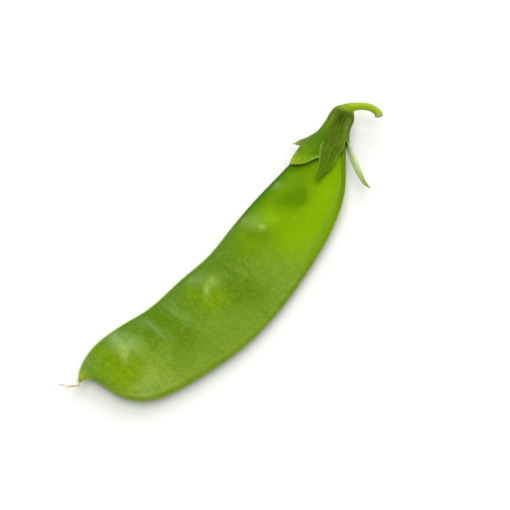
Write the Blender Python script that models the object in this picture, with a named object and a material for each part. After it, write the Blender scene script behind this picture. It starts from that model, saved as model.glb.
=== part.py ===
"""A picked flat garden pea pod, lying on its side, as one rigid piece of produce.

The pod is laid along X with its stalk at +X and its seed-bearing (ventral) seam at +Y.
It rests on the belly of its lower face, and its neck, calyx and stalk stay clear of the table.
Four parts that grow on each other: the pod, the calyx round its neck, the stalk and the dried style.
"""

import math

import bmesh
import bpy
import numpy as np
from mathutils import Vector

MM = 0.001

# The pod's ribs, from the neck to the beak, in millimetres from the beak's point: the two ends of each
# rib on the ventral and the dorsal seam, half the pod's thickness there, and the height of its middle.
RIBS_MM = (
    # ventral x, y, dorsal x, y, half thickness, middle height
    (82.1, 6.1, 82.9, 3.7, 1.15, 4.35),
    (80.6, 6.15, 81.8, 2.8, 1.30, 4.28),
    (78.3, 5.6, 79.9, 1.5, 1.40, 4.15),
    (74.3, 5.2, 76.6, -1.8, 1.55, 3.90),
    (69.2, 5.0, 71.9, -6.1, 1.80, 3.55),
    (63.2, 4.6, 66.6, -9.7, 2.00, 3.10),
    (55.0, 4.1, 58.4, -13.0, 2.15, 2.55),
    (46.2, 3.0, 48.6, -15.8, 2.25, 2.20),
    (38.1, 1.7, 39.0, -17.6, 2.30, 2.12),
    (30.0, 2.0, 29.5, -18.1, 2.30, 2.12),
    (22.0, 1.9, 21.0, -17.1, 2.30, 2.14),
    (15.5, 3.0, 13.5, -15.5, 2.20, 2.22),
    (9.1, 3.7, 7.6, -13.0, 2.00, 2.30),
    (5.0, 3.2, 4.2, -8.9, 1.75, 2.42),
    (2.5, 2.3, 3.1, -4.8, 1.35, 2.52),
    (1.2, 1.4, 2.3, -1.4, 0.95, 2.60),
    (0.4, 0.6, 1.0, -0.4, 0.62, 2.66),
    (-0.05, 0.1, 0.3, -0.35, 0.40, 2.70),
)
POD_RINGS = 58
FACE_COLUMNS = 9

# The seams: the round rim, the bead along it and the groove inside it, by distance from the edge.
RIM_RADIUS = 0.62 * MM
RIM_STEPS = tuple(d * MM for d in (0.0, 0.10, 0.32, 0.65, 1.05, 1.55, 2.30))
FULL_RIM_WIDTH = 9.0 * MM
BEAD_HEIGHT, BEAD_PLACE, BEAD_WIDTH = 0.14 * MM, 0.55 * MM, 0.40 * MM
GROOVE_DEPTH, GROOVE_PLACE, GROOVE_WIDTH = 0.16 * MM, 1.45 * MM, 0.50 * MM
FACE_FULLNESS = 2.5

# The seeds, from the neck to the beak, in millimetres: centre x, y, and how far each one lifts the wall.
SEEDS_MM = (
    (60.9, -0.6, 0.55),
    (50.2, -1.9, 0.95),
    (41.6, -2.9, 0.30),
    (31.8, -4.0, 1.05),
    (21.4, -3.2, 0.30),
    (9.8, -2.9, 0.95),
)
SEED_RADIUS = 2.7 * MM
SEED_FADE = 2.0 * MM
UNDERSIDE_SHARE = 0.6

# The calyx follows the pod's own neck at a clearance. Its stations, in millimetres: the centre x, y and
# height, the half width across the seams and the half thickness, from the base to past the lobes' tips.
CALYX_MM = (
    (83.2, 5.05, 4.40, 2.12, 2.10),
    (81.8, 4.60, 4.35, 2.42, 2.30),
    (79.3, 3.55, 4.20, 2.86, 2.35),
    (75.7, 1.90, 4.00, 4.35, 2.45),
    (71.2, -0.25, 3.70, 6.60, 2.70),
    (65.6, -2.4, 3.25, 8.20, 2.90),
)
CALYX_WALL = 0.62 * MM
STATION_STEP = 0.1
CROWN_SHARES = (0.45, 0.85)
CUP_START, CUP_END = 0.06, 2.30
CUP_RINGS = 6
LOBE_RINGS = 9
LOBE_COLUMNS = 6
SINUS_DEGREES = 9.0
HALF_LOBE_DEGREES = (360 / 5 - SINUS_DEGREES) / 2
LOBE_POINT = 0.8
LOBE_BEND = 2.6
LOBE_TIP_SHARE = 0.09

# The five lobes: the angle round the neck from the ventral seam, the station of the tip, the greatest
# width against the width at the mouth, where along the lobe it is widest, how far the tip stands off,
# and how many degrees it drifts round the neck.
LOBES = (
    # name, degrees, tip station, fullness, widest at, stand-off, drift
    ("upper_front", 37.0, 4.78, 1.88, 0.55, 0.2 * MM, -1.0),
    ("side_front", 109.0, 4.85, 1.28, 0.34, 0.2 * MM, -14.0),
    ("lower", 180.0, 4.20, 0.80, 0.20, 4.6 * MM, 12.0),
    ("side_back", 252.0, 4.30, 1.40, 0.35, 0.1 * MM, 0.0),
    ("upper_back", 324.0, 3.55, 1.20, 0.38, 2.2 * MM, 20.0),
)

# The stalk's centre line from the calyx to its cut end, and its radius along it, in millimetres.
STALK_MM = (
    (84.1, 5.2, 4.45, 1.65),
    (84.65, 5.2, 4.55, 1.42),
    (85.4, 4.9, 4.75, 1.10),
    (86.3, 4.2, 4.95, 0.90),
    (87.4, 3.15, 5.00, 0.82),
    (88.3, 1.9, 4.90, 0.82),
    (88.7, 0.6, 4.70, 0.82),
    (88.65, -0.3, 4.50, 0.86),
    (88.35, -0.85, 4.35, 0.93),
)
STALK_RINGS = 22
STALK_SIDES = 12

# The dried style that stays on the beak: its centre line and radius, in millimetres.
STYLE_MM = (
    (-0.40, -0.48, 2.66, 0.34),
    (-0.95, -0.05, 2.40, 0.31),
    (-1.50, 0.65, 2.00, 0.30),
    (-2.00, 1.15, 1.65, 0.30),
    (-2.20, 1.75, 1.45, 0.30),
    (-2.45, 2.45, 1.30, 0.30),
    (-3.00, 3.00, 1.20, 0.30),
)
STYLE_RINGS = 15
STYLE_SIDES = 8

# The finish of each part: its colour and its roughness.
POD_FINISH = (0.190, 0.330, 0.020), 0.42
CALYX_FINISH = (0.090, 0.190, 0.012), 0.60
STALK_FINISH = (0.300, 0.450, 0.030), 0.45
STYLE_FINISH = (0.620, 0.520, 0.330), 0.80


def clear_scene():
    for obj in list(bpy.data.objects):
        bpy.data.objects.remove(obj, do_unlink=True)


def spline(knots, places):
    """The natural cubic spline through the rows of knots, read at places counted in knots from 0."""
    knots = np.asarray(knots, float)
    places = np.clip(np.asarray(places, float), 0, len(knots) - 1)
    matrix = np.eye(len(knots))
    for i in range(1, len(knots) - 1):
        matrix[i, i - 1 : i + 2] = 1, 4, 1
    bend = np.zeros_like(knots)
    bend[1:-1] = 6 * (knots[2:] - 2 * knots[1:-1] + knots[:-2])
    bend = np.linalg.solve(matrix, bend)
    low = np.clip(places.astype(int), 0, len(knots) - 2)
    f = (places - low)[:, None]
    straight = (1 - f) * knots[low] + f * knots[low + 1]
    return straight - f * (1 - f) * ((2 - f) * bend[low] + (1 + f) * bend[low + 1]) / 6


def hill(distance, width):
    return np.exp(-((distance / width) ** 2))


def seed_lift(x, y):
    """How far the seeds under the wall lift it at a point of the pod's face."""
    lift = np.zeros_like(x)
    for seed_x, seed_y, height in SEEDS_MM:
        away = np.hypot(x - seed_x * MM, y - seed_y * MM)
        lift += height * MM * hill(away, SEED_RADIUS)
    return lift


def wall_height(edge, width, half_thickness):
    """Half the pod's thickness at a distance from the nearer seam, without the seeds."""
    narrow = min(1.0, width / FULL_RIM_WIDTH)
    rim = min(RIM_RADIUS * narrow, half_thickness)
    inside = np.clip(edge / rim, 0, 1)
    middle = np.clip(1 - edge / (width / 2), 0, 1)
    height = rim * np.sqrt(1 - (1 - inside) ** 2)
    height += (half_thickness - rim) * (1 - middle**FACE_FULLNESS)
    seam = np.clip(edge / BEAD_PLACE, 0, 1) * narrow
    height += BEAD_HEIGHT * seam * hill(edge - BEAD_PLACE, BEAD_WIDTH)
    height -= GROOVE_DEPTH * seam * hill(edge - GROOVE_PLACE, GROOVE_WIDTH)
    return height


def pod_ring(rib):
    """One closed ring of the pod, over the top from the ventral seam and back under it."""
    ventral, dorsal = Vector((*rib[0:2], 0)), Vector((*rib[2:4], 0))
    half_thickness, middle = rib[4], rib[5]
    width = (ventral - dorsal).length
    steps = np.array(RIM_STEPS) * min(1.0, width / FULL_RIM_WIDTH)
    face = np.linspace(steps[-1], width - steps[-1], FACE_COLUMNS + 2)[1:-1]
    across = np.concatenate([steps, face, width - steps[::-1]])
    edge = np.minimum(across, width - across)
    x = ventral.x + (dorsal.x - ventral.x) * across / width
    y = ventral.y + (dorsal.y - ventral.y) * across / width
    height = wall_height(edge, width, half_thickness)
    lift = seed_lift(x, y) * np.clip(edge / SEED_FADE, 0, 1)
    top = np.stack([x, y, middle + height + lift], axis=1)
    under = np.stack([x, y, middle - height - UNDERSIDE_SHARE * lift], axis=1)
    under[:, 2] = np.maximum(under[:, 2], 0.0)
    return np.concatenate([top, under[-2:0:-1]])


def tube_rings(knots_mm, rings, sides):
    """Rings of a round tube along a centre line whose knots give x, y, z and the radius."""
    line = spline(np.array(knots_mm) * MM, np.linspace(0, len(knots_mm) - 1, rings))
    made = []
    for i, row in enumerate(line):
        before, after = line[max(i - 1, 0), :3], line[min(i + 1, rings - 1), :3]
        along = Vector(after - before).normalized()
        side = along.cross(Vector((0, 0, 1))).normalized()
        over = side.cross(along)
        centre, radius = Vector(row[:3]), float(row[3])
        turns = [2 * math.pi * k / sides for k in range(sides)]
        made.append([centre + radius * (side * math.cos(a) + over * math.sin(a)) for a in turns])
    return made


def skin(name, rings):
    """A closed mesh object through rings of equal length, with both ends capped."""
    mesh = bmesh.new()
    loops = [[mesh.verts.new(point) for point in ring] for ring in rings]
    for first, second in zip(loops, loops[1:]):
        for k in range(len(first)):
            after = (k + 1) % len(first)
            mesh.faces.new((first[k], first[after], second[after], second[k]))
    mesh.faces.new(reversed(loops[0]))
    mesh.faces.new(loops[-1])
    return finished(name, mesh)


def finished(name, mesh):
    """The object made from a closed bmesh, with its faces turned outwards and shaded smooth."""
    bmesh.ops.recalc_face_normals(mesh, faces=mesh.faces)
    data = bpy.data.meshes.new(name)
    mesh.to_mesh(data)
    mesh.free()
    data.shade_smooth()
    obj = bpy.data.objects.new(name, data)
    bpy.context.scene.collection.objects.link(obj)
    return obj


def make_pod():
    ribs = spline(np.array(RIBS_MM) * MM, np.linspace(0, len(RIBS_MM) - 1, POD_RINGS))
    return skin("pod", [pod_ring(rib) for rib in ribs])


def calyx_point(station, degrees, stand_off=0.0):
    """A point on the calyx's middle surface, by its station and its angle round the neck."""
    near = [station - STATION_STEP, station, station + STATION_STEP]
    behind, here, ahead = spline(np.array(CALYX_MM) * MM, near)
    x, y, z, half_width, half_thick = here
    along = Vector((*(ahead - behind)[:2], 0)).normalized()
    across = Vector((along.y, -along.x, 0))
    angle = math.radians(degrees)
    out = across * math.cos(angle) + Vector((0, 0, math.sin(angle)))
    oval = across * (half_width * math.cos(angle)) + Vector((0, 0, half_thick * math.sin(angle)))
    return Vector((x, y, z)) + oval + out * stand_off


def degree_length(station, degrees):
    """The distance on the calyx's middle surface for one degree round the neck."""
    return (calyx_point(station, degrees + 0.5) - calyx_point(station, degrees - 0.5)).length


def lobe_width(share, fullness, widest):
    """A lobe's width against its width at the mouth, at a share of its length."""
    if share < widest:
        return 1 + (fullness - 1) * (1 - math.cos(math.pi * share / widest)) / 2
    fall = (share - widest) / (1 - widest)
    return max(fullness * math.cos(math.pi / 2 * fall) ** LOBE_POINT, LOBE_TIP_SHARE)


def lobe_row(lobe, share):
    """One row of points across a lobe, from one margin to the other."""
    _, degrees, tip, fullness, widest, stand_off, drift = lobe
    station = CUP_END + (tip - CUP_END) * share
    width = lobe_width(share, fullness, widest)
    spread = HALF_LOBE_DEGREES * width * degree_length(CUP_END, degrees) / degree_length(station, degrees)
    middle, off = degrees + drift * share**LOBE_BEND, stand_off * share**LOBE_BEND
    places = [2 * k / LOBE_COLUMNS - 1 for k in range(LOBE_COLUMNS + 1)]
    return [calyx_point(station, middle + spread * place, off) for place in places]


def make_calyx():
    """The cup with its five lobes, drawn as one sheet and then given its thickness."""
    mesh = bmesh.new()
    places = [2 * k / LOBE_COLUMNS - 1 for k in range(LOBE_COLUMNS + 1)]
    turns = [lobe[1] + HALF_LOBE_DEGREES * place for lobe in LOBES for place in places]
    base = calyx_point(0, 0).lerp(calyx_point(0, 180), 0.5)
    crown = mesh.verts.new(base)
    rows = []
    for share in CROWN_SHARES:
        points = [calyx_point(0, turn) for turn in turns]
        rows.append([mesh.verts.new(base.lerp(point, share)) for point in points])
    for ring in range(CUP_RINGS):
        station = CUP_START + (CUP_END - CUP_START) * ring / (CUP_RINGS - 1)
        rows.append([mesh.verts.new(calyx_point(station, turn)) for turn in turns])
    count = len(turns)
    for k in range(count):
        mesh.faces.new((crown, rows[0][k], rows[0][(k + 1) % count]))
    for first, second in zip(rows, rows[1:]):
        for k in range(count):
            after = (k + 1) % count
            mesh.faces.new((first[k], second[k], second[after], first[after]))
    for number, lobe in enumerate(LOBES):
        start = number * (LOBE_COLUMNS + 1)
        below = rows[-1][start : start + LOBE_COLUMNS + 1]
        for ring in range(1, LOBE_RINGS + 1):
            above = [mesh.verts.new(point) for point in lobe_row(lobe, ring / LOBE_RINGS)]
            for k in range(LOBE_COLUMNS):
                mesh.faces.new((below[k], above[k], above[k + 1], below[k + 1]))
            below = above
    calyx = finished("calyx", mesh)
    wall = calyx.modifiers.new("wall", "SOLIDIFY")
    wall.thickness = CALYX_WALL
    wall.offset = 0.0
    wall.use_even_offset = True
    return calyx


def make_stalk():
    return skin("stalk", tube_rings(STALK_MM, STALK_RINGS, STALK_SIDES))


def make_style():
    return skin("style", tube_rings(STYLE_MM, STYLE_RINGS, STYLE_SIDES))


def paint(obj, finish):
    colour, roughness = finish
    material = bpy.data.materials.new(obj.name)
    material.use_nodes = True
    shader = material.node_tree.nodes["Principled BSDF"]
    shader.inputs["Base Color"].default_value = (*colour, 1)
    shader.inputs["Roughness"].default_value = roughness
    obj.data.materials.append(material)


def centre_over_origin(objects):
    """Parents the parts to an empty that puts the middle of their box over the origin."""
    bpy.context.view_layer.update()
    graph = bpy.context.evaluated_depsgraph_get()
    corners = [Vector(c) for obj in objects for c in obj.evaluated_get(graph).bound_box]
    low = Vector(map(min, *corners))
    high = Vector(map(max, *corners))
    middle = (low + high) / 2
    place = bpy.data.objects.new("place", None)
    bpy.context.scene.collection.objects.link(place)
    place.location = (-middle.x, -middle.y, 0)
    for obj in objects:
        obj.parent = place


def main():
    clear_scene()
    pod, calyx, stalk, style = make_pod(), make_calyx(), make_stalk(), make_style()
    paint(pod, POD_FINISH)
    paint(calyx, CALYX_FINISH)
    paint(stalk, STALK_FINISH)
    paint(style, STYLE_FINISH)
    centre_over_origin([pod, calyx, stalk, style])


main()
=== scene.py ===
"""The looks of a picked snow pea pod that lies on its side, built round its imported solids.

The pod, its calyx, its stalk and its dried style are modelled finely from the same named values as their
solids, in the construction's millimetres, and moved to where the solids are.
"""

from __future__ import annotations

import logging
import math
from dataclasses import dataclass
from enum import Enum
from typing import Callable, Iterable

import bpy
import numpy as np
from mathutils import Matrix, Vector


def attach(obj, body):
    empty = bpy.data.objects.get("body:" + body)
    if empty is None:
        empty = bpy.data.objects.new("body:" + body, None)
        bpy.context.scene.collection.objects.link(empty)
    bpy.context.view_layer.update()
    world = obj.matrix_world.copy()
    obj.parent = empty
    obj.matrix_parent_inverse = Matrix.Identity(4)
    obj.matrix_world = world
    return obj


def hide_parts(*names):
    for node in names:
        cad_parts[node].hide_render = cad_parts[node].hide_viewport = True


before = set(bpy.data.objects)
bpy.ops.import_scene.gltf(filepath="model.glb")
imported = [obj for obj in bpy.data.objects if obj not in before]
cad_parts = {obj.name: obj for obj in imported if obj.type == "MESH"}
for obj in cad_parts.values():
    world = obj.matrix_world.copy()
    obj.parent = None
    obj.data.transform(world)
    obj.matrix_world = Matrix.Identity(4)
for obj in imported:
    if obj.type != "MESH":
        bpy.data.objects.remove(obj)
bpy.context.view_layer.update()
MM = 0.001
# points of a mesh that are nearer than this, in metres, are one point
SAME_POINT = 1e-7
BODY = "root"
# from the construction's place, with the beak's point at its origin, to the row's
SHIFT_MM = (-43.18, 5.149, 0.0)

log = logging.getLogger("snow_pea_pod")

Array = np.ndarray
Colour = tuple[float, float, float]


def srgb(red: int, green: int, blue: int) -> Colour:
    """A colour as the eye sees it on a screen, turned into linear light.

    Args:
        red: The red part, from 0 to 255.
        green: The green part, from 0 to 255.
        blue: The blue part, from 0 to 255.

    Returns:
        The linear colour, each part from 0 to 1.
    """
    parts = (part / 255 for part in (red, green, blue))
    return tuple(p / 12.92 if p <= 0.04045 else ((p + 0.055) / 1.055) ** 2.4 for p in parts)


def hill(distance: Array, width: float) -> Array:
    """A smooth bump that is 1 at distance 0 and falls away over a width."""
    return np.exp(-((distance / width) ** 2))


def near(value: Array, place: float, width: float) -> Array:
    """A smooth bump that is 1 where the value is at a place."""
    return hill(value - place, width)


def ramp(value: Array, start: float, end: float) -> Array:
    """A smooth step from 0 at start to 1 at end."""
    share = np.clip((value - start) / (end - start), 0, 1)
    return share * share * (3 - 2 * share)


def fade(value: Array, start: float, end: float) -> Array:
    """A smooth step from 1 at start to 0 at end."""
    return 1 - ramp(value, start, end)


def spline(rows: tuple, places: Array) -> Array:
    """The natural cubic spline through rows of numbers.

    Args:
        rows: The knots, one row each.
        places: Where to read it, counted in knots from 0.

    Returns:
        One row for each place.
    """
    knots = np.asarray(rows, float)
    places = np.clip(np.asarray(places, float), 0, len(knots) - 1)
    matrix = np.eye(len(knots))
    for i in range(1, len(knots) - 1):
        matrix[i, i - 1 : i + 2] = 1, 4, 1
    bend = np.zeros_like(knots)
    bend[1:-1] = 6 * (knots[2:] - 2 * knots[1:-1] + knots[:-2])
    bend = np.linalg.solve(matrix, bend)
    low = np.clip(places.astype(int), 0, len(knots) - 2)
    f = (places - low)[:, None]
    straight = (1 - f) * knots[low] + f * knots[low + 1]
    return straight - f * (1 - f) * ((2 - f) * bend[low] + (1 + f) * bend[low + 1]) / 6


@dataclass(frozen=True)
class Ripple:
    """Smooth unevenness, as a sum of sine waves in random directions that the seed fixes.

    wavelength is about how long a wave is, in millimetres, lengths are the shortest and the longest wave as
    shares of it, and height is how high the sum mostly stands.
    """

    seed: int
    wavelength: float
    height: float
    waves: int = 7
    lengths: tuple[float, float] = (0.7, 1.5)

    def at(self, x: Array, y: Array) -> Array:
        """The unevenness at places on a plane.

        Args:
            x: The places' x, in millimetres.
            y: Their y.

        Returns:
            How high each place stands.
        """
        draw = np.random.default_rng(self.seed)
        turn = draw.uniform(0, 2 * math.pi, self.waves)
        length = self.wavelength * draw.uniform(*self.lengths, self.waves)
        ways = np.stack([np.cos(turn), np.sin(turn)], axis=1) * (2 * math.pi / length)[:, None]
        phases = draw.uniform(0, 2 * math.pi, self.waves)
        places = np.stack([x, y], axis=-1) @ ways.T + phases
        return self.height * (np.sin(places).sum(axis=-1) / math.sqrt(self.waves))


@dataclass(frozen=True)
class Course:
    """A value that changes in smooth steps along a piece: its first value, then each step.

    A step is where it starts and ends, and how much it adds.
    """

    first: float
    steps: tuple

    def at(self, place: Array) -> Array:
        """The value along the piece.

        Args:
            place: Where to read it.

        Returns:
            The value at each place.
        """
        total = self.first
        for start, end, change in self.steps:
            total = total + change * ramp(place, start, end)
        return total


class Bench:
    """The modelling steps that the pieces share."""

    @staticmethod
    def clear_selection() -> None:
        """Leaves nothing selected, in object mode."""
        if bpy.context.mode != "OBJECT":
            bpy.ops.object.mode_set(mode="OBJECT")
        bpy.ops.object.select_all(action="DESELECT")

    @staticmethod
    def pick(obj: bpy.types.Object) -> None:
        """Makes one object the only selected and the active one.

        Args:
            obj: The object.
        """
        Bench.clear_selection()
        obj.select_set(True)
        bpy.context.view_layer.objects.active = obj

    @staticmethod
    def wrapped_grid(
        name: str, rows: int, columns: int, shape: Callable[[Array, Array], dict[str, Array]]
    ) -> bpy.types.Object:
        """A primitive grid whose points are moved onto a shape.

        Args:
            name: The object's name.
            rows: How many faces the grid has along u.
            columns: How many faces the grid has along v.
            shape: Gives the points in metres under "points", and any other named value for each point,
                which the mesh keeps as an attribute, from u and v between 0 and 1.

        Returns:
            The object, with the grid's own UV map.
        """
        Bench.clear_selection()
        bpy.ops.mesh.primitive_grid_add(x_subdivisions=rows, y_subdivisions=columns, size=2.0)
        obj = bpy.context.active_object
        obj.name = obj.data.name = name
        flat = np.empty(len(obj.data.vertices) * 3)
        obj.data.vertices.foreach_get("co", flat)
        u, v = (flat.reshape(-1, 3)[:, :2].T + 1) / 2
        made = shape(u, v)
        obj.data.vertices.foreach_set("co", made.pop("points").ravel())
        for key, values in made.items():
            layer = obj.data.attributes.new(key, "FLOAT", "POINT")
            layer.data.foreach_set("value", values.astype(np.float32))
        obj.data.update()
        return obj

    @staticmethod
    def close(obj: bpy.types.Object) -> None:
        """Merges the points that meet, turns the faces outwards and shades them smooth.

        Args:
            obj: The mesh object.
        """
        Bench.pick(obj)
        bpy.ops.object.mode_set(mode="EDIT")
        bpy.ops.mesh.select_all(action="SELECT")
        bpy.ops.mesh.remove_doubles(threshold=SAME_POINT)
        bpy.ops.mesh.normals_make_consistent(inside=False)
        bpy.ops.object.mode_set(mode="OBJECT")
        bpy.ops.object.shade_smooth()

    @staticmethod
    def join(parts: list[bpy.types.Object], name: str) -> bpy.types.Object:
        """Joins objects into one.

        Args:
            parts: The mesh objects.
            name: The name of the whole.

        Returns:
            The whole.
        """
        Bench.pick(parts[0])
        for part in parts[1:]:
            part.select_set(True)
        bpy.ops.object.join()
        whole = bpy.context.active_object
        whole.name = whole.data.name = name
        return whole

    @staticmethod
    def apply(obj: bpy.types.Object, modifier: bpy.types.Modifier) -> None:
        """Applies one modifier."""
        Bench.pick(obj)
        bpy.ops.object.modifier_apply(modifier=modifier.name)

    @staticmethod
    def hand_over(obj: bpy.types.Object, node: str, slot: str) -> None:
        """Gives a finished piece to the frame.

        Args:
            obj: The piece.
            node: The solid that it stands for.
            slot: Not used.
        """
        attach(obj, BODY)
        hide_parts(node)
        faces = len(obj.data.polygons)
        size = ", ".join(f"{side / MM:.1f}" for side in obj.dimensions)
        log.info("%s: %d faces, %s mm", obj.name, faces, size)


class Value:
    """A shader socket that carries a number, with the operators that formulas use."""

    def __init__(self, graph: Graph, socket: bpy.types.NodeSocket) -> None:
        """Wraps a socket of a graph."""
        self.graph = graph
        self.socket = socket

    def _math(self, operation: str, *terms: Value | float) -> Value:
        """Adds a Math node."""
        node = self.graph.node("ShaderNodeMath", {"operation": operation}, dict(enumerate(terms)))
        return Value(self.graph, node.outputs[0])

    def __add__(self, other: Value | float) -> Value:
        """self + other."""
        return self._math("ADD", self, other)

    def __radd__(self, other: float) -> Value:
        """other + self."""
        return self._math("ADD", other, self)

    def __sub__(self, other: Value | float) -> Value:
        """self - other."""
        return self._math("SUBTRACT", self, other)

    def __rsub__(self, other: float) -> Value:
        """other - self."""
        return self._math("SUBTRACT", other, self)

    def __mul__(self, other: Value | float) -> Value:
        """self * other."""
        return self._math("MULTIPLY", self, other)

    def __rmul__(self, other: float) -> Value:
        """other * self."""
        return self._math("MULTIPLY", other, self)

    def clipped(self) -> Value:
        """The number kept between 0 and 1."""
        node = self.graph.node("ShaderNodeClamp", {}, {"Value": self})
        return Value(self.graph, node.outputs[0])

    def step(self, start: float, end: float) -> Value:
        """A smooth step.

        Args:
            start: The number where the step is 0.
            end: The number where it is 1.

        Returns:
            The step.
        """
        sockets = {"Value": self, "From Min": start, "From Max": end}
        node = self.graph.node("ShaderNodeMapRange", {"interpolation_type": "SMOOTHSTEP"}, sockets)
        return Value(self.graph, node.outputs[0])


class Graph:
    """The node graph of one material, round its Principled shader."""

    def __init__(self, name: str) -> None:
        """Makes an empty material.

        Args:
            name: The material's name.
        """
        self.material = bpy.data.materials.new(name)
        self.material.use_nodes = True
        self.tree = self.material.node_tree
        self.shader = self.tree.nodes["Principled BSDF"]

    def node(self, kind: str, settings: dict, sockets: dict) -> bpy.types.Node:
        """Adds a node.

        Args:
            kind: The node's type.
            settings: Its settings, set first.
            sockets: The values or links of its input sockets, by name or number.

        Returns:
            The node.
        """
        made = self.tree.nodes.new(kind)
        for key, value in settings.items():
            setattr(made, key, value)
        for key, value in sockets.items():
            self.feed(made.inputs[key], value)
        return made

    def feed(self, socket: bpy.types.NodeSocket, value: object) -> None:
        """Links or sets one input socket.

        Args:
            socket: The socket.
            value: What it is linked to, or the number, vector or colour that it is set to.
        """
        if isinstance(value, Value):
            value = value.socket
        if isinstance(value, bpy.types.NodeSocket):
            self.tree.links.new(value, socket)
        elif isinstance(value, tuple) and socket.type == "RGBA":
            socket.default_value = (*value, 1)
        else:
            socket.default_value = value

    def attribute(self, name: str) -> Value:
        """A number that the mesh keeps at its points."""
        node = self.node("ShaderNodeAttribute", {"attribute_name": name}, {})
        return Value(self, node.outputs["Fac"])

    def place(self, stretch: tuple[float, float, float] = (1, 1, 1)) -> bpy.types.NodeSocket:
        """The place on the object in millimetres.

        Args:
            stretch: The scale of each axis.

        Returns:
            The place's socket.
        """
        here = self.node("ShaderNodeTexCoord", {}, {}).outputs["Object"]
        scale = tuple(s / MM for s in stretch)
        return self.node("ShaderNodeMapping", {}, {"Vector": here, "Scale": scale}).outputs[0]

    def noise(self, size: float, detail: float = 2, stretch: tuple = (1, 1, 1), twist: float = 0) -> Value:
        """Cloudy noise.

        Args:
            size: The size of its blotches, in millimetres.
            detail: How many finer layers it has.
            stretch: The scale of each axis, before the noise is read.
            twist: How far it is distorted.

        Returns:
            The noise, between 0 and 1 and mostly near a half.
        """
        sockets = {"Vector": self.place(stretch), "Scale": 1 / size, "Detail": detail, "Distortion": twist}
        return Value(self, self.node("ShaderNodeTexNoise", {}, sockets).outputs["Fac"])

    def mix(self, low: object, high: object, share: Value | float) -> bpy.types.NodeSocket:
        """The colour between two colours.

        Args:
            low: The colour at share 0.
            high: The colour at share 1.
            share: How much of high there is.

        Returns:
            The colour's socket.
        """
        node = self.node("ShaderNodeMix", {"data_type": "RGBA"}, {0: share, 6: low, 7: high})
        return node.outputs[2]

    def bump(self, height: Value, distance_mm: float, strength: float = 1.0) -> None:
        """Feeds the shader's normal with a relief.

        Args:
            height: The relief, from 0 to 1.
            distance_mm: What a height of 1 stands for, in millimetres.
            strength: How much of the relief shows.
        """
        sockets = {"Height": height, "Distance": distance_mm * MM, "Strength": strength}
        normal = self.node("ShaderNodeBump", {}, sockets).outputs[0]
        self.set("Normal", normal)

    def set(self, socket: str, value: object) -> None:
        """Links or sets one socket of the shader."""
        self.feed(self.shader.inputs[socket], value)


@dataclass(frozen=True)
class Sheen:
    """How a living surface reflects light and lets it in.

    shine and tint are the strength and colour of its reflections, inside how much of the light goes in, and
    reach how far each colour of it gets, as shares of a depth in millimetres.
    """

    shine: float
    tint: Colour
    inside: float
    reach: Colour
    depth: float

    def lay_on(self, graph: Graph) -> None:
        """Sets the shader's sockets.

        Args:
            graph: The material's graph.
        """
        graph.set("Specular IOR Level", self.shine)
        graph.set("Specular Tint", self.tint)
        graph.set("Subsurface Weight", self.inside)
        graph.set("Subsurface Radius", self.reach)
        graph.set("Subsurface Scale", self.depth * MM)


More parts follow.
